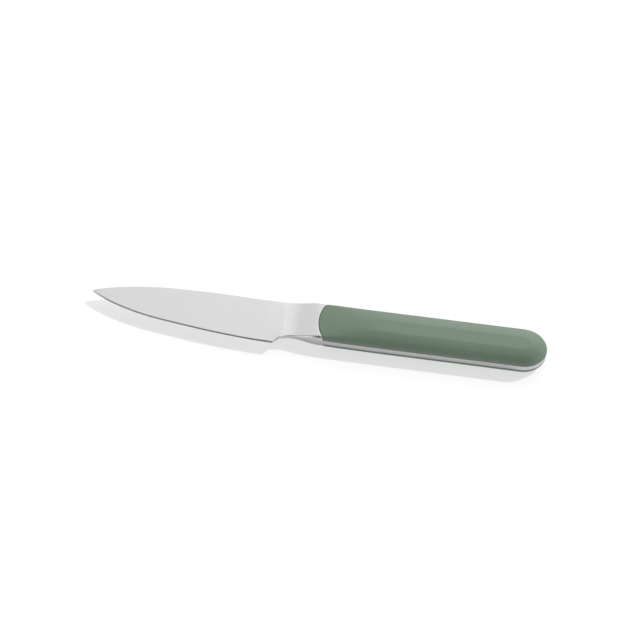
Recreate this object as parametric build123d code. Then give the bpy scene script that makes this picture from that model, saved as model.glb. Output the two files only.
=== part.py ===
"""Paring knife with a forged bolster, a full tang and two hollow moulded handle scales.

Millimetres. The knife lies on its right side: the tip points to -X, the butt to +X, the spine
is towards +Y and the cutting edge towards -Y. The middle plane of the blade is level, and the
lowest strip of the right scale is at z = 0. Shapes are made about the blade's middle plane and
raised by half of the handle's thickness when they are written.
"""
import math
import os

from build123d import *

# Driving sizes of the whole knife
overall_length = 223.0
full_depth = 23.34          # crest of the spine side down to the heel of the edge
handle_thickness = 14.6
handle_height = 19.9

# Blade
blade_length = 91.3         # tip to heel, along the knife
blade_thickness = 2.2       # at the ricasso, across both faces
edge_thickness = 0.44       # behind the bevel, across both faces
bevel_width = 0.75
heel_notch_length = 3.0     # from the heel to the foot of the bolster
heel_notch_radius = 1.2
ricasso_length = 4.3        # from the heel to the first swell of the bolster

# Bolster and handle
shoulder_apex = 21.06       # from the heel back to the foremost point of the scale joint
shoulder_radius = 16.3      # of that joint, seen from the side of the knife
shoulder_rise = 0.98        # its centre above the middle of the handle, towards the spine
rim_round = 0.35            # soft rim of the bolster at the joint
scale_front_round = 0.6     # front edge of each scale
butt_length = 11.8          # full-round end, along the knife
corner_radius = 4.6         # of the section at the butt
crown_drop = 0.7            # from the flat strip down to the corners' height, at the butt
land_width = 2.6            # flat along the middle of each crown
flat_depth = 0.1            # of the resting flats that are cut into the crowns

# Tang
tang_thickness = 3.6
tang_edge_break = 0.2
window_height = 8.5
window_radius = 2.0
window_bridge = 2.2         # between the two windows of a span
window_margin = 4.4         # from a pin's centre to the nearest window

# Hidden pins and the bond between tang and scales
pin_diameter = 3.0
pin_clearance = 0.05        # radial, in the tang and in the sockets
pin_socket_depth = 2.6      # of each pin end into a scale
pin_end_clearance = 0.2
pin_end_break = 0.3
bond_thickness = 0.15
bond_inset = 0.4            # film edge kept back from the outline
seam_clearance = 0.05       # between a scale's front and the bolster

# Inside of a moulded scale
scale_wall = 2.3            # over a pocket, down from the outer face
scale_rim = 3.6             # beside a pocket, in from the outline
scale_front_wall = 4.0      # ahead of the first pocket, behind the joint's ends
rib_thickness = 1.6
boss_diameter = 6.6
pocket_corner_radius = 1.2

overrun = 2.0               # how far a cutting shape runs past what it cuts

# Places that follow from the sizes above
middle_z = handle_thickness / 2
tip_x = -overall_length / 2
heel_x = tip_x + blade_length
notch_x = heel_x + heel_notch_length
swell_x = heel_x + ricasso_length
apex_x = heel_x + shoulder_apex
end_x = overall_length / 2
butt_x = end_x - butt_length
crest_y = full_depth / 2
heel_y = -full_depth / 2
scale_foot_z = tang_thickness / 2 + bond_thickness
crown_thickness = handle_thickness + 2 * flat_depth

# Blade stations: place from tip to heel as a share of the blade's length, drop of the spine and
# of the edge below the crest as shares of the full depth, then the thickness at the spine and
# the thickness behind the bevel as shares of the blade's own two sizes
blade_station_shares = (
    (0.003, 0.272, 0.308, 0.11, 0.35),
    (0.013, 0.253, 0.339, 0.18, 0.50),
    (0.033, 0.232, 0.381, 0.25, 0.70),
    (0.066, 0.198, 0.443, 0.33, 0.90),
    (0.110, 0.156, 0.514, 0.41, 1.00),
    (0.177, 0.108, 0.601, 0.51, 1.00),
    (0.265, 0.060, 0.694, 0.61, 1.00),
    (0.376, 0.023, 0.775, 0.70, 1.00),
    (0.508, 0.009, 0.843, 0.79, 1.00),
    (0.663, 0.004, 0.915, 0.87, 1.00),
    (0.829, 0.020, 0.970, 0.94, 1.00),
    (0.920, 0.029, 0.989, 0.98, 1.30),
    (0.965, 0.029, 0.995, 0.99, 1.90),
    (1.000, 0.029, 1.000, 1.00, 2.60),
)
tip_drop_share = 0.290
# Behind the heel the faces run out to parallel: place from heel to first swell, drop of the
# spine, thickness low on the blade as a share of the blade's thickness
ricasso_station_shares = (
    (0.38, 0.0285, 0.68),
    (0.68, 0.0270, 0.88),
    (1.00, 0.0257, 1.00),
)
# Bolster stations: place from first swell to the joint's apex, drop of the spine side below the
# crest as a share of the full depth, then height, thickness, corner radius and crown drop as
# shares of the handle's own
bolster_station_shares = (
    (0.000, 0.0247, 0.9572, 0.1527, 0.007, 0.013),
    (0.119, 0.0193, 0.9472, 0.1566, 0.074, 0.017),
    (0.297, 0.0107, 0.9422, 0.1837, 0.104, 0.032),
    (0.475, 0.0051, 0.9487, 0.2536, 0.122, 0.065),
    (0.653, 0.0017, 0.9603, 0.3730, 0.152, 0.128),
    (0.831, 0.0000, 0.9724, 0.4877, 0.192, 0.204),
    (0.950, 0.0000, 0.9800, 0.5473, 0.237, 0.301),
)
# Handle stations with the same columns, by their place between the joint's apex and the butt.
# The last three only lead the curve out straight; the plain grip starts ahead of them
handle_station_shares = (
    (0.020, 0.0009, 0.9890, 0.6015, 0.333, 0.429),
    (0.070, 0.0030, 0.9935, 0.7090, 0.480, 0.600),
    (0.125, 0.0060, 0.9970, 0.8150, 0.674, 0.786),
    (0.180, 0.0082, 0.9990, 0.9050, 0.848, 0.930),
    (0.240, 0.0108, 1.0000, 0.9700, 0.970, 0.990),
    (0.300, 0.0115, 1.0000, 1.0000, 1.022, 1.000),
    (0.360, 0.0121, 1.0000, 1.0000, 1.022, 1.000),
    (0.430, 0.0125, 1.0000, 1.0000, 1.020, 1.000),
    (0.500, 0.0130, 1.0000, 1.0000, 1.018, 1.000),
    (0.570, 0.0134, 1.0000, 1.0000, 1.015, 1.000),
)
lead_out_stations = 3
butt_shares = (0.0171, 1.0000, 1.0000, 1.000, 1.000)
pin_place_shares = (0.082, 0.472, 0.862)    # from the first pocket to the butt
pin_names = ("front_pin", "middle_pin", "rear_pin")

handle_y = crest_y - butt_shares[0] * full_depth - handle_height / 2
joint_y = handle_y + shoulder_rise
joint_half = handle_height / 2 + shoulder_rise
joint_reach = shoulder_radius - math.sqrt(shoulder_radius**2 - joint_half**2)
pocket_x = apex_x + joint_reach + scale_front_wall
pin_places = [pocket_x + share * (butt_x - pocket_x) for share in pin_place_shares]


def cross_plane(x):
    """Plane across the knife at x, with its own x along +Y and its own y along +Z."""
    return Plane(origin=(x, 0, 0), x_dir=(0, 1, 0), z_dir=(1, 0, 0))


def arc_point(centre, radius, degrees):
    angle = math.radians(degrees)
    return (centre[0] + radius * math.cos(angle), centre[1] + radius * math.sin(angle))


def crown_chain(half_height, wall, radius, half_thickness):
    """Edges from the top of the +Y wall over the corner and the crown to the flat strip."""
    land = land_width / 2
    slope = 2 * math.atan((half_thickness - wall - radius) / (half_height - radius - land))
    edge_degrees = 90 - math.degrees(slope)
    corner = (half_height - radius, wall)
    start = (half_height, wall)
    joint = arc_point(corner, radius, edge_degrees)
    crown_radius = (joint[0] - land) / math.sin(slope)
    crown = (land, half_thickness - crown_radius)
    corner_middle = arc_point(corner, radius, edge_degrees / 2)
    crown_middle = arc_point(crown, crown_radius, 90 - math.degrees(slope) / 2)
    return [
        ThreePointArc(start, corner_middle, joint),
        ThreePointArc(joint, crown_middle, (land, half_thickness)),
    ]


def half_section(half_height, wall, radius, half_thickness):
    """Half of the handle's section on the +Y side, as a face against the middle."""
    upper = crown_chain(half_height, wall, radius, half_thickness)
    lower = [mirror(edge, about=Plane.XZ) for edge in upper]
    land = land_width / 2
    rest = [
        Line((half_height, -wall), (half_height, wall)),
        Line((land, half_thickness), (0, half_thickness)),
        Line((0, half_thickness), (0, -half_thickness)),
        Line((0, -half_thickness), (land, -half_thickness)),
    ]
    return make_face(Curve() + upper + lower + rest)


def full_section(half_height, wall, radius, half_thickness):
    """The handle's whole section: walls, corners, crowns and the two flat strips."""
    right = crown_chain(half_height, wall, radius, half_thickness)
    upper = right + [mirror(edge, about=Plane.YZ) for edge in right]
    lower = [mirror(edge, about=Plane.XZ) for edge in upper]
    land = land_width / 2
    rest = [
        Line((half_height, -wall), (half_height, wall)),
        Line((-half_height, -wall), (-half_height, wall)),
        Line((-land, half_thickness), (land, half_thickness)),
        Line((-land, -half_thickness), (land, -half_thickness)),
    ]
    return make_face(Curve() + upper + lower + rest)


def station_sizes(drop, height, thickness, radius, crown):
    """Middle height, half height, half wall, corner radius and half thickness at a station."""
    half_height = handle_height * height / 2
    half_thickness = crown_thickness * thickness / 2
    corner = corner_radius * radius
    wall = half_thickness - corner - crown_drop * crown
    centre_y = crest_y - full_depth * drop - half_height
    return centre_y, half_height, wall, corner, half_thickness


def station_face(x, shares):
    centre_y, half_height, wall, radius, half_thickness = station_sizes(*shares)
    face = full_section(half_height, wall, radius, half_thickness)
    return cross_plane(x) * Pos(centre_y, 0) * face


def handle_stations():
    """Every station of bolster and handle as a place and its shares, from front to back."""
    front = [(swell_x + s[0] * (apex_x - swell_x), s[1:]) for s in bolster_station_shares]
    back = [(apex_x + s[0] * (butt_x - apex_x), s[1:]) for s in handle_station_shares]
    return front + back


def half_thickness_at(x):
    """Half of the thickness at x before the flats, in straight steps between the stations."""
    stations = [(place, station_sizes(*shares)[4]) for place, shares in handle_stations()]
    for (x0, t0), (x1, t1) in zip(stations, stations[1:]):
        if x <= x1:
            return t0 + (t1 - t0) * (x - x0) / (x1 - x0)
    return stations[-1][1]


def envelope():
    """Outer form of bolster and handle in one piece, from the first swell to the butt."""
    stations = handle_stations()
    swell = loft([station_face(x, shares) for x, shares in stations])
    grip_x, grip_shares = stations[-1 - lead_out_stations]
    swell = split(swell, bisect_by=Plane.YZ.offset(grip_x), keep=Keep.BOTTOM)
    grip = loft([station_face(grip_x, grip_shares), station_face(butt_x, butt_shares)])
    centre_y, half_height, wall, radius, half_thickness = station_sizes(*butt_shares)
    profile = cross_plane(butt_x) * Pos(centre_y, 0) * half_section(
        half_height, wall, radius, half_thickness
    )
    axis = Axis((butt_x, centre_y, 0), (0, 0, -1))
    butt = revolve(profile, axis=axis, revolution_arc=180)
    stretch = (butt_length / half_height, 1, 1)
    butt = scale(butt, by=stretch, about=(butt_x, centre_y, 0))
    between_flats = Box(overall_length, full_depth * 2, handle_thickness)
    return (swell + grip + butt) & between_flats


def scale_zone(radius, depth):
    """Upright prism behind the joint: its front is an arc about the joint's own centre."""
    centre_x = apex_x + shoulder_radius
    far = end_x + overrun
    front = ThreePointArc(
        (centre_x, joint_y + radius), (centre_x - radius, joint_y), (centre_x, joint_y - radius)
    )
    sides = Polyline(
        (centre_x, joint_y - radius),
        (far, joint_y - radius),
        (far, joint_y + radius),
        (centre_x, joint_y + radius),
    )
    return extrude(make_face(front + sides), amount=depth / 2, both=True)


def blade_rows():
    """Place, spine, edge, thickness at the spine and behind the bevel, from the tip back."""
    rows = []
    for place, spine_drop, edge_drop, spine_share, edge_share in blade_station_shares:
        x = tip_x + place * blade_length
        spine_y = crest_y - spine_drop * full_depth
        edge_y = crest_y - edge_drop * full_depth
        rows.append((x, spine_y, edge_y, blade_thickness * spine_share, edge_thickness * edge_share))
    for place, spine_drop, foot_share in ricasso_station_shares:
        x = heel_x + place * ricasso_length
        spine_y = crest_y - spine_drop * full_depth
        rows.append((x, spine_y, heel_y, blade_thickness, blade_thickness * foot_share))
    return rows


def blade_lines():
    """The lines that bound the blade's +Z face: spine, top of the bevel and cutting edge."""
    rows = blade_rows()
    tip = (tip_x, crest_y - tip_drop_share * full_depth, 0)
    spine, shoulder, edge = [tip], [tip], [tip]
    for index, (x, spine_y, edge_y, spine_size, foot_size) in enumerate(rows):
        before = rows[max(index - 1, 0)]
        after = rows[min(index + 1, len(rows) - 1)]
        run = after[0] - before[0]
        rise = math.hypot(run, after[2] - before[2]) / run
        shoulder_y = edge_y + min(bevel_width * rise, (spine_y - edge_y) / 3)
        spine.append((x, spine_y, spine_size / 2))
        shoulder.append((x, shoulder_y, foot_size / 2))
        edge.append((x, edge_y, 0))
    return [Spline(*points).edge() for points in (spine, shoulder, edge)]


def blade():
    """Ground blade from the tip to the first swell, before the notch behind the heel is cut."""
    spine, shoulder, edge = blade_lines()
    far_spine = mirror(spine, about=Plane.XY).edge()
    ground = Face.make_surface_from_curves(spine, shoulder)
    bevel = Face.make_surface_from_curves(shoulder, edge)
    back = Face.make_surface_from_curves(spine, far_spine)
    near = [line @ 1 for line in (spine, shoulder)]
    far = [(point.X, point.Y, -point.Z) for point in reversed(near)]
    end = make_face(Polyline(*near, edge @ 1, *far, close=True))
    faces = [ground, bevel, back, end]
    faces += [mirror(face, about=Plane.XY) for face in (ground, bevel)]
    return Solid(Shell([face.face() for face in faces]))


def heel_notch():
    """Prism that clears the space behind the heel, with a rounded inner corner."""
    first = station_sizes(*bolster_station_shares[0][1:])
    second = station_sizes(*bolster_station_shares[1][1:])
    gap = (bolster_station_shares[1][0] - bolster_station_shares[0][0]) * (apex_x - swell_x)
    foot_y = first[0] - first[1]
    fall = (foot_y - (second[0] - second[1])) / gap
    corner = (notch_x, foot_y + fall * (swell_x - notch_x))
    path = Polyline(
        (heel_x, heel_y),
        corner,
        (swell_x + overrun, foot_y - fall * overrun),
        (swell_x + overrun, heel_y - overrun),
        (heel_x, heel_y - overrun),
        close=True,
    )
    face = make_face(path)
    inner = face.vertices().sort_by_distance((corner[0], corner[1], 0))[0]
    face = fillet(inner, heel_notch_radius)
    return extrude(face, amount=blade_thickness, both=True)


def tang_plate(outer):
    """Full tang: the outline of the handle at the tang's thickness, with its edges broken."""
    zone = scale_zone(shoulder_radius + rim_round * 2, tang_thickness)
    plate = outer & zone
    rims = plate.faces().sort_by(Axis.Z)
    edges = rims[-1].outer_wire().edges() + rims[0].outer_wire().edges()
    behind = [edge for edge in edges if edge.bounding_box().max.X > apex_x + shoulder_radius]
    return fillet(behind, tang_edge_break)


def tang_openings():
    """Weight-saving windows and the pin holes."""
    windows = []
    for x0, x1 in zip(pin_places, pin_places[1:]):
        length = (x1 - x0 - window_bridge) / 2 - window_margin
        face = RectangleRounded(length, window_height, window_radius)
        from_middle = (window_bridge + length) / 2
        for side in (-1, 1):
            windows.append(Pos((x0 + x1) / 2 + side * from_middle, handle_y) * face)
    hole = Circle(pin_diameter / 2 + pin_clearance)
    holes = [Pos(x, handle_y) * hole for x in pin_places]
    return extrude(Sketch() + windows + holes, amount=tang_thickness, both=True)


def rim_edges(body, radius):
    """Edges where the joint's upright round face meets the outside of the body."""
    centre = Vector(apex_x + shoulder_radius, joint_y, 0)
    found = []
    for edge in body.edges():
        points = [edge.position_at(share) for share in (0.0, 0.5, 1.0)]
        flat = [math.hypot(p.X - centre.X, p.Y - centre.Y) for p in points]
        if max(abs(distance - radius) for distance in flat) < seam_clearance / 5:
            found.append(edge)
    return found


def forging(outer):
    """Blade, bolster and tang in one piece of steel."""
    bolster = outer - scale_zone(shoulder_radius, handle_thickness + overrun)
    upper = split(bolster, bisect_by=Plane.XY, keep=Keep.TOP)
    rim = rim_edges(upper, shoulder_radius)
    rim = [edge for edge in rim if edge.bounding_box().max.Z > seam_clearance]
    upper = fillet(rim, rim_round)
    bolster = upper + mirror(upper, about=Plane.XY)
    steel = (blade() - heel_notch()) + bolster + tang_plate(outer)
    return steel - tang_openings()


def pocket_edges():
    """Ribs and ends of the pockets along the scale."""
    places = [pocket_x]
    for x0, x1 in zip(pin_places, pin_places[1:]):
        places += [x0, (x0 + x1) / 2]
    places += [pin_places[-1], butt_x]
    return places


def pockets():
    """Cored spaces of the left scale, between ribs and round the pin bosses."""
    places = pocket_edges()
    cores = []
    for index, (x0, x1) in enumerate(zip(places, places[1:])):
        start = x0 + (rib_thickness / 2 if index else 0)
        stop = x1 - (rib_thickness / 2 if x1 < butt_x else 0)
        length = stop - start
        height = handle_height - 2 * scale_rim
        roof = half_thickness_at(start) - scale_wall
        face = RectangleRounded(length, height, pocket_corner_radius)
        core = extrude(face, amount=roof)
        cores.append(Pos((start + stop) / 2, handle_y, 0) * core)
    boss = Cylinder(boss_diameter / 2, handle_thickness)
    bosses = [Pos(x, handle_y, 0) * boss for x in pin_places]
    return Part() + cores - bosses


def pin_sockets(reach):
    hole = Cylinder(
        pin_diameter / 2 + pin_clearance, reach, align=(Align.CENTER, Align.CENTER, Align.MIN)
    )
    return Part() + [Pos(x, handle_y, 0) * hole for x in pin_places]


def left_scale(outer, cores):
    """Hollow moulded scale on the +Z side, with ribs, pin bosses and a rounded front edge."""
    radius = shoulder_radius - seam_clearance
    blank = outer & scale_zone(radius, handle_thickness + overrun)
    blank = split(blank, bisect_by=Plane.XY.offset(scale_foot_z), keep=Keep.TOP)
    lowest = scale_foot_z + seam_clearance
    front = [edge for edge in rim_edges(blank, radius) if edge.center().Z > lowest]
    blank = fillet(front, scale_front_round)
    sockets = pin_sockets(scale_foot_z + pin_socket_depth + pin_end_clearance)
    return blank - cores - sockets


def left_bond_film(outer, cores):
    """Thin adhesive film between the tang and the left scale, open at pockets and pins."""
    leaf = split(outer, bisect_by=Plane.XY.offset(tang_thickness / 2), keep=Keep.TOP)
    leaf = split(leaf, bisect_by=Plane.XY.offset(scale_foot_z), keep=Keep.BOTTOM)
    below = Pos(-bond_inset, -bond_inset, 0) * leaf
    above = Pos(-bond_inset, bond_inset, 0) * leaf
    film = below & above & scale_zone(shoulder_radius - bond_inset, handle_thickness)
    return film - cores - pin_sockets(handle_thickness)


def pin():
    """Plain steel pin with broken ends, standing through the tang."""
    length = 2 * (scale_foot_z + pin_socket_depth)
    body = Cylinder(pin_diameter / 2, length)
    return chamfer(body.edges().filter_by(GeomType.CIRCLE), pin_end_break)


def write(name, shape):
    solids = shape.solids()
    raised = Pos(0, 0, middle_z) * (solids[0] if len(solids) == 1 else Compound(solids))
    raised.label = name
    export_step(raised, os.path.join("parts", name + ".step"))


def main():
    os.makedirs("parts", exist_ok=True)
    outer = envelope()
    cores = pockets()
    scale_left = left_scale(outer, cores)
    film_left = left_bond_film(outer, cores)
    write("blade_and_tang", forging(outer))
    write("left_scale", scale_left)
    write("right_scale", mirror(scale_left, about=Plane.XY))
    write("left_bond_film", film_left)
    write("right_bond_film", mirror(film_left, about=Plane.XY))
    for name, x in zip(pin_names, pin_places):
        write(name, Pos(x, handle_y, 0) * pin())


main()
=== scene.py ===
import math

import bpy
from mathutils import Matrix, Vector

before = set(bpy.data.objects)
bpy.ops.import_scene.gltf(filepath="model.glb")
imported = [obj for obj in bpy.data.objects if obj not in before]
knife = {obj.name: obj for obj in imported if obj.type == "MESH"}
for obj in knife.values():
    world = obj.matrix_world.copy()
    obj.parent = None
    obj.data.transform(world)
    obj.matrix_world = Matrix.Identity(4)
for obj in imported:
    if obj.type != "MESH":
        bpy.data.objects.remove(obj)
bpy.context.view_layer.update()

# Camera at the photograph's viewing angle: degrees, metres, and the lens in millimetres
camera_azimuth = 8.18
camera_elevation = 60.0
camera_distance = 0.8636
camera_near = 0.01
camera_lens = 100.0
camera_target = Vector((0.00110, 0.00427, 0.00730))

# Where the blade's ground finish turns into the bolster's polish, metres along the knife
bolster_fade = (-0.0159, -0.0090)

# Repeats to the metre along X, Y and Z; the lines run where there are fewest
ground_lines = (2400.0, 48.0, 900.0)
polish_lines = (160.0, 2600.0, 2600.0)
drawn_lines = (3200.0, 3200.0, 60.0)
scratch_lines = (22.0, 620.0, 620.0)
scratch_turn = (0.0, 0.0, math.radians(24.0))
scratch_threshold = (0.70, 0.76)
plastic_grains = 4200.0
plastic_flecks = 1500.0
adhesive_filler = 900.0

# Full depths of the fine reliefs, metres
line_depth = 0.00002
grain_depth = 0.00001
filler_depth = 0.00003

# Darker and lighter ends of each colour
steel_dark, steel_light = (0.798, 0.798, 0.795), (0.838, 0.838, 0.835)
green_dark, green_light = (0.117, 0.173, 0.119), (0.129, 0.189, 0.130)
fleck_dark, fleck_light = 0.965, 1.035
adhesive_dark, adhesive_light = (0.34, 0.33, 0.30), (0.48, 0.47, 0.44)
pin_dark, pin_light = 0.60, 0.70

# Lowest roughness of each finish, before lines, patches and scratches add to it
blade_roughness = 0.22
bolster_roughness = 0.16
plastic_roughness = 0.37
pin_roughness = 0.26
adhesive_smoothest, adhesive_roughest = 0.62, 0.78
line_roughness = 0.10           # that the abrasive lines add to blade and bolster

# White table: side in metres, its own grey, its glow, and the glow's share in reflections
floor_size = 6.0
floor_grey = 0.40
floor_glow = 0.605
floor_mirror_share = 0.40

# Distant lamp that casts the shadow
key_light_level = 2.00
key_light_spread = math.radians(1.5)
key_light_from = Vector((0.65, 0.43, 1.00))

# Studio light by the angle from straight up, in degrees: minus is behind the knife, plus in
# front. The large light hangs behind, and a dark gap follows in front of it.
blade_light = (
    (-90.0, 0.75),
    (-60.0, 0.95),
    (-40.0, 1.00),
    (-18.0, 0.95),
    (-6.0, 0.38),
    (4.0, 0.08),
    (34.0, 0.06),
    (50.0, 0.18),
    (90.0, 0.28),
)
# The part of it above the handle, brightest low behind, with an earlier and softer fall
handle_light = (
    (-90.0, 1.60),
    (-60.0, 2.05),
    (-44.0, 2.00),
    (-34.0, 1.60),
    (-27.0, 1.10),
    (-20.0, 0.60),
    (-12.0, 0.15),
    (34.0, 0.03),
    (50.0, 0.18),
    (90.0, 0.28),
)
brightest_level = 2.05
# Fades of the studio along the knife, by the X of a direction: minus is towards the tip
handle_light_start = (-0.05, 0.01)
handle_light_end = (0.25, 0.50)
tip_side_fade = (-0.50, -0.04)
tip_side_level = 0.78
# White card low in front, towards the tip, and pale wall beyond the butt
card_front_degrees = (0.0, 24.0)
card_tip_fade = (-0.42, -0.22)
card_level = 0.95
butt_wall_fade = (0.55, 0.80)
butt_wall_level = 0.80

# Places of factor, first, second and result among a Mix node's sockets
mix_sockets = {"FLOAT": (0, 2, 3, 0), "VECTOR": (0, 4, 5, 1), "RGBA": (0, 6, 7, 2)}


def empty_tree(owner):
    """Node tree of a material or world, with nothing in it."""
    owner.use_nodes = True
    owner.node_tree.nodes.clear()
    return owner.node_tree


def add(tree, kind, **properties):
    """Add a node and set its properties."""
    node = tree.nodes.new(kind)
    for name, value in properties.items():
        setattr(node, name, value)
    return node


def feed(tree, socket, value):
    """Join an output to an input, or set a plain value on it."""
    if isinstance(value, bpy.types.NodeSocket):
        tree.links.new(value, socket)
    else:
        socket.default_value = value


def feed_named(tree, node, **values):
    """Feed inputs by their names, with _ for a space."""
    for name, value in values.items():
        feed(tree, node.inputs[name.replace("_", " ")], value)


def math_node(tree, operation, *values, clamp=False):
    node = add(tree, "ShaderNodeMath", operation=operation, use_clamp=clamp)
    for socket, value in zip(node.inputs, values):
        feed(tree, socket, value)
    return node.outputs["Value"]


def mix(tree, kind, factor, first, second, blend="MIX"):
    """First where the factor is 0, second where it is 1."""
    node = add(tree, "ShaderNodeMix", data_type=kind, blend_type=blend)
    *inputs, output = mix_sockets[kind]
    for index, value in zip(inputs, (factor, first, second)):
        feed(tree, node.inputs[index], value)
    return node.outputs[output]


def smooth_step(tree, value, fade):
    """0 below the fade, 1 above it, smooth between."""
    node = add(tree, "ShaderNodeMapRange", interpolation_type="SMOOTHSTEP", clamp=True)
    feed_named(tree, node, Value=value, From_Min=fade[0], From_Max=fade[1])
    return node.outputs["Result"]


def ramp(tree, value, stops):
    """Colour ramp from (place, grey or colour) stops."""
    node = add(tree, "ShaderNodeValToRGB")
    elements = node.color_ramp.elements
    while len(elements) > 1:
        elements.remove(elements[-1])
    for index, (place, colour) in enumerate(stops):
        if isinstance(colour, float):
            colour = (colour, colour, colour)
        element = elements[0] if index == 0 else elements.new(place)
        element.position = place
        element.color = (*colour, 1.0)
    tree.links.new(value, node.inputs["Fac"])
    return node.outputs["Color"]


def parts_of(tree, vector):
    """X, Y and Z of a vector."""
    node = add(tree, "ShaderNodeSeparateXYZ")
    tree.links.new(vector, node.inputs["Vector"])
    return node.outputs


def object_place(tree):
    return add(tree, "ShaderNodeTexCoord").outputs["Object"]


def stretched(tree, place, scale, turn=(0.0, 0.0, 0.0)):
    """Place scaled and turned, for a pattern that runs one way."""
    node = add(tree, "ShaderNodeMapping")
    feed_named(tree, node, Vector=place, Scale=scale, Rotation=turn)
    return node.outputs["Vector"]


def noise(tree, place, **values):
    node = add(tree, "ShaderNodeTexNoise")
    feed_named(tree, node, Vector=place, **values)
    return node.outputs["Fac"]


def relief(tree, height, strength, depth):
    """Normal of a fine relief with a depth in metres."""
    node = add(tree, "ShaderNodeBump")
    feed_named(tree, node, Height=height, Strength=strength, Distance=depth)
    return node.outputs["Normal"]


def new_group(name, inputs, outputs):
    """Shader node group with sockets given as name: kind; also its ends to work from."""
    group = bpy.data.node_groups.new(name, "ShaderNodeTree")
    for side, sockets in (("INPUT", inputs), ("OUTPUT", outputs)):
        for socket_name, kind in sockets.items():
            group.interface.new_socket(socket_name, in_out=side, socket_type=kind)
    given = add(group, "NodeGroupInput").outputs
    result = add(group, "NodeGroupOutput").inputs
    return group, given, result


def use_group(tree, group, **values):
    """Place a group in a material with its own values."""
    node = add(tree, "ShaderNodeGroup", node_tree=group)
    feed_named(tree, node, **values)
    return node.outputs


def abrasive_lines_group():
    """Fine parallel lines that a belt or a drawing die leaves in steel."""
    group, given, result = new_group(
        "abrasive lines",
        {"Stretch": "NodeSocketVector", "Depth": "NodeSocketFloat"},
        {"Lines": "NodeSocketFloat", "Normal": "NodeSocketVector"},
    )
    place = stretched(group, object_place(group), given["Stretch"])
    lines = noise(group, place, Scale=1.0, Detail=3.0, Roughness=0.62)
    normal = relief(group, lines, strength=given["Depth"], depth=line_depth)
    group.links.new(lines, result["Lines"])
    group.links.new(normal, result["Normal"])
    return group


def handling_marks_group():
    """Faint uneven patches and stray hairline scratches from use and washing."""
    group, given, result = new_group(
        "handling marks",
        {"Patch size": "NodeSocketFloat", "Scratches": "NodeSocketFloat"},
        {"Patches": "NodeSocketFloat", "Scratch": "NodeSocketFloat"},
    )
    place = object_place(group)
    scale = math_node(group, "DIVIDE", 1.0, given["Patch size"])
    patches = noise(group, place, Scale=scale, Detail=4.0, Roughness=0.55)
    hair_place = stretched(group, place, scratch_lines, scratch_turn)
    hairs = noise(group, hair_place, Scale=1.0, Detail=1.5, Distortion=0.35)
    scratch = smooth_step(group, hairs, scratch_threshold)
    scratch = math_node(group, "MULTIPLY", scratch, given["Scratches"], clamp=True)
    group.links.new(patches, result["Patches"])
    group.links.new(scratch, result["Scratch"])
    return group


def worn_roughness(tree, marks, base, patches, scratches):
    """Roughness of a finish with its handling marks added."""
    rough = math_node(tree, "MULTIPLY_ADD", marks["Patches"], patches, base)
    return math_node(tree, "MULTIPLY_ADD", marks["Scratch"], scratches, rough, clamp=True)


def principled(tree, **values):
    """Surface shader, fed by name and joined to the output."""
    shader = add(tree, "ShaderNodeBsdfPrincipled")
    feed_named(tree, shader, **values)
    output = add(tree, "ShaderNodeOutputMaterial")
    tree.links.new(shader.outputs["BSDF"], output.inputs["Surface"])


def forged_steel(lines_group, marks_group):
    """Blade ground from spine to edge, bolster and tang edge polished lengthwise."""
    material = bpy.data.materials.new("satin forged steel")
    tree = empty_tree(material)
    ground = use_group(tree, lines_group, Stretch=ground_lines, Depth=0.28)
    polished = use_group(tree, lines_group, Stretch=polish_lines, Depth=0.16)
    marks = use_group(tree, marks_group, Patch_size=0.03, Scratches=0.12)
    along_knife = parts_of(tree, object_place(tree))["X"]
    on_bolster = smooth_step(tree, along_knife, bolster_fade)
    lines = mix(tree, "FLOAT", on_bolster, ground["Lines"], polished["Lines"])
    base = mix(tree, "FLOAT", on_bolster, blade_roughness, bolster_roughness)
    base = math_node(tree, "MULTIPLY_ADD", lines, line_roughness, base)
    principled(
        tree,
        Metallic=1.0,
        Base_Color=ramp(tree, lines, [(0.25, steel_dark), (0.75, steel_light)]),
        Roughness=worn_roughness(tree, marks, base, patches=0.06, scratches=0.12),
        Normal=mix(tree, "VECTOR", on_bolster, ground["Normal"], polished["Normal"]),
    )
    return material


def moulded_plastic(marks_group):
    """Sage green moulded grip with a very fine texture and a soft sheen."""
    material = bpy.data.materials.new("sage green moulded plastic")
    tree = empty_tree(material)
    place = object_place(tree)
    marks = use_group(tree, marks_group, Patch_size=0.045, Scratches=0.25)
    green = ramp(tree, marks["Patches"], [(0.30, green_dark), (0.70, green_light)])
    speckle = noise(tree, place, Scale=plastic_flecks, Detail=2.0)
    flecks = ramp(tree, speckle, [(0.35, fleck_dark), (0.65, fleck_light)])
    grains = add(tree, "ShaderNodeTexVoronoi", feature="SMOOTH_F1")
    feed_named(tree, grains, Vector=place, Scale=plastic_grains)
    principled(
        tree,
        IOR=1.5,
        Specular_IOR_Level=1.0,
        Base_Color=mix(tree, "RGBA", 1.0, green, flecks, blend="MULTIPLY"),
        Roughness=worn_roughness(tree, marks, plastic_roughness, patches=0.10, scratches=0.10),
        Normal=relief(tree, grains.outputs["Distance"], strength=0.35, depth=grain_depth),
    )
    return material


def cured_adhesive():
    """Grey filled adhesive, matt and slightly mottled."""
    material = bpy.data.materials.new("cured adhesive")
    tree = empty_tree(material)
    filler = noise(tree, object_place(tree), Scale=adhesive_filler, Detail=4.0)
    principled(
        tree,
        Base_Color=ramp(tree, filler, [(0.3, adhesive_dark), (0.7, adhesive_light)]),
        Roughness=ramp(tree, filler, [(0.3, adhesive_smoothest), (0.7, adhesive_roughest)]),
        Normal=relief(tree, filler, strength=0.5, depth=filler_depth),
    )
    return material


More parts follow.
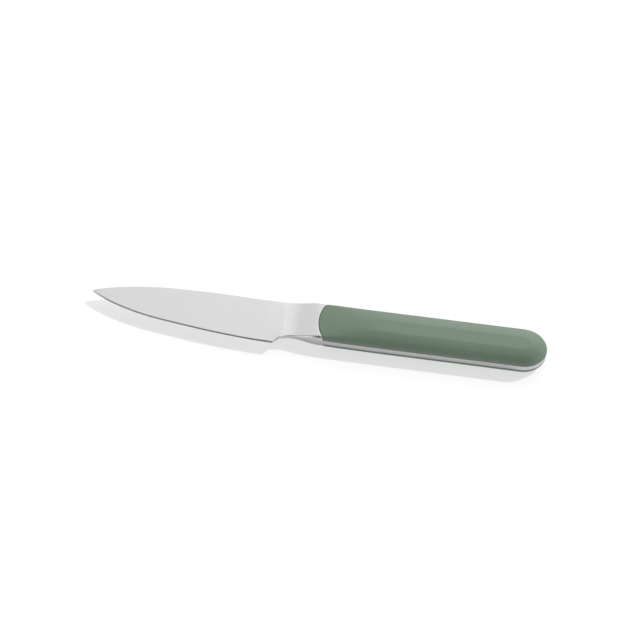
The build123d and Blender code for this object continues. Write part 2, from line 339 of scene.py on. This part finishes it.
def drawn_steel(lines_group, marks_group):
    """Pin wire, drawn along its length."""
    material = bpy.data.materials.new("drawn pin steel")
    tree = empty_tree(material)
    drawn = use_group(tree, lines_group, Stretch=drawn_lines, Depth=0.4)
    marks = use_group(tree, marks_group, Patch_size=0.006, Scratches=0.6)
    principled(
        tree,
        Metallic=1.0,
        Base_Color=ramp(tree, drawn["Lines"], [(0.25, pin_dark), (0.75, pin_light)]),
        Roughness=worn_roughness(tree, marks, pin_roughness, patches=0.16, scratches=0.15),
        Normal=drawn["Normal"],
    )
    return material


def dress(material, *names):
    """Give CAD nodes their finish."""
    for name in names:
        slots = knife[name].data.materials
        slots.clear()
        slots.append(material)


def dress_knife():
    lines_group = abrasive_lines_group()
    marks_group = handling_marks_group()
    dress(forged_steel(lines_group, marks_group), "blade_and_tang")
    dress(moulded_plastic(marks_group), "left_scale", "right_scale")
    dress(cured_adhesive(), "left_bond_film", "right_bond_film")
    dress(drawn_steel(lines_group, marks_group), "front_pin", "middle_pin", "rear_pin")


def white_table():
    """Pale board that glows a little, less so in what the knife reflects of it."""
    material = bpy.data.materials.new("white table")
    tree = empty_tree(material)
    board = add(tree, "ShaderNodeBsdfDiffuse")
    feed_named(tree, board, Color=(floor_grey, floor_grey, floor_grey, 1.0))
    reflected = add(tree, "ShaderNodeLightPath").outputs["Is Glossy Ray"]
    dimmed = math_node(tree, "MULTIPLY", reflected, 1.0 - floor_mirror_share)
    seen = math_node(tree, "SUBTRACT", 1.0, dimmed)
    glow = add(tree, "ShaderNodeEmission")
    feed_named(tree, glow, Strength=math_node(tree, "MULTIPLY", seen, floor_glow))
    both = add(tree, "ShaderNodeAddShader")
    tree.links.new(board.outputs["BSDF"], both.inputs[0])
    tree.links.new(glow.outputs["Emission"], both.inputs[1])
    output = add(tree, "ShaderNodeOutputMaterial")
    tree.links.new(both.outputs["Shader"], output.inputs["Surface"])
    return material


def add_floor():
    """White table that keeps the knife's shadow."""
    bpy.ops.object.select_all(action="DESELECT")
    bpy.ops.mesh.primitive_plane_add(size=floor_size, location=(0.0, 0.0, 0.0))
    floor = bpy.context.active_object
    floor.name = "floor"
    floor.data.materials.append(white_table())


def ramp_place(degrees):
    """Place on a light's ramp of an angle from straight up."""
    return 0.5 + degrees / 180.0


def light_by_angle(tree, share, stops):
    """Brightness from (degrees, level) stops; a ramp's white stands for brightest_level."""
    places = [(ramp_place(degrees), level / brightest_level) for degrees, level in stops]
    return math_node(tree, "MULTIPLY", ramp(tree, share, places), brightest_level)


def add_studio():
    """Large soft light above and behind, a darker gap in front of it, and pale walls."""
    world = bpy.data.worlds.new("studio")
    bpy.context.scene.world = world
    tree = empty_tree(world)
    direction = parts_of(tree, add(tree, "ShaderNodeTexCoord").outputs["Generated"])
    to_butt = direction["X"]
    to_front = math_node(tree, "MULTIPLY", direction["Y"], -1.0)
    angle = math_node(tree, "ARCTAN2", to_front, direction["Z"])
    share = math_node(tree, "MULTIPLY_ADD", angle, 1.0 / math.pi, ramp_place(0.0))

    over_handle = math_node(
        tree,
        "SUBTRACT",
        smooth_step(tree, to_butt, handle_light_start),
        smooth_step(tree, to_butt, handle_light_end),
    )
    level = mix(
        tree,
        "FLOAT",
        over_handle,
        light_by_angle(tree, share, blade_light),
        light_by_angle(tree, share, handle_light),
    )
    tip_side = smooth_step(tree, to_butt, tip_side_fade)
    dimming = mix(tree, "FLOAT", tip_side, tip_side_level, 1.0)
    level = math_node(tree, "MULTIPLY", level, dimming)

    card_front_fade = [ramp_place(degrees) for degrees in card_front_degrees]
    low_front = smooth_step(tree, share, card_front_fade)
    to_tip = math_node(tree, "SUBTRACT", 1.0, smooth_step(tree, to_butt, card_tip_fade))
    card = math_node(tree, "MULTIPLY", low_front, to_tip)
    card = math_node(tree, "MULTIPLY", card, card_level)
    level = math_node(tree, "MAXIMUM", level, card)
    wall = smooth_step(tree, to_butt, butt_wall_fade)
    wall = math_node(tree, "MULTIPLY", wall, butt_wall_level)
    level = math_node(tree, "MAXIMUM", level, wall)

    background = add(tree, "ShaderNodeBackground")
    tree.links.new(level, background.inputs["Color"])
    output = add(tree, "ShaderNodeOutputWorld")
    tree.links.new(background.outputs["Background"], output.inputs["Surface"])


def add_key_light():
    """Distant lamp above the knife, behind it and towards the butt; reflections skip it."""
    data = bpy.data.lights.new("key light", "SUN")
    data.energy = key_light_level
    data.angle = key_light_spread
    lamp = bpy.data.objects.new("key light", data)
    bpy.context.scene.collection.objects.link(lamp)
    lamp.rotation_euler = key_light_from.to_track_quat("Z", "Y").to_euler()
    lamp.visible_glossy = False


def add_camera():
    azimuth = math.radians(camera_azimuth)
    elevation = math.radians(camera_elevation)
    back = Vector((
        math.sin(azimuth) * math.cos(elevation),
        -math.cos(azimuth) * math.cos(elevation),
        math.sin(elevation),
    ))
    data = bpy.data.cameras.new("camera")
    data.lens = camera_lens
    data.clip_start = camera_near
    camera = bpy.data.objects.new("camera", data)
    bpy.context.scene.collection.objects.link(camera)
    camera.location = camera_target + back * camera_distance
    camera.rotation_euler = (math.pi / 2 - elevation, 0.0, azimuth)
    bpy.context.scene.camera = camera


dress_knife()
add_floor()
add_studio()
add_key_light()
add_camera()
bpy.context.scene.view_settings.view_transform = "Standard"
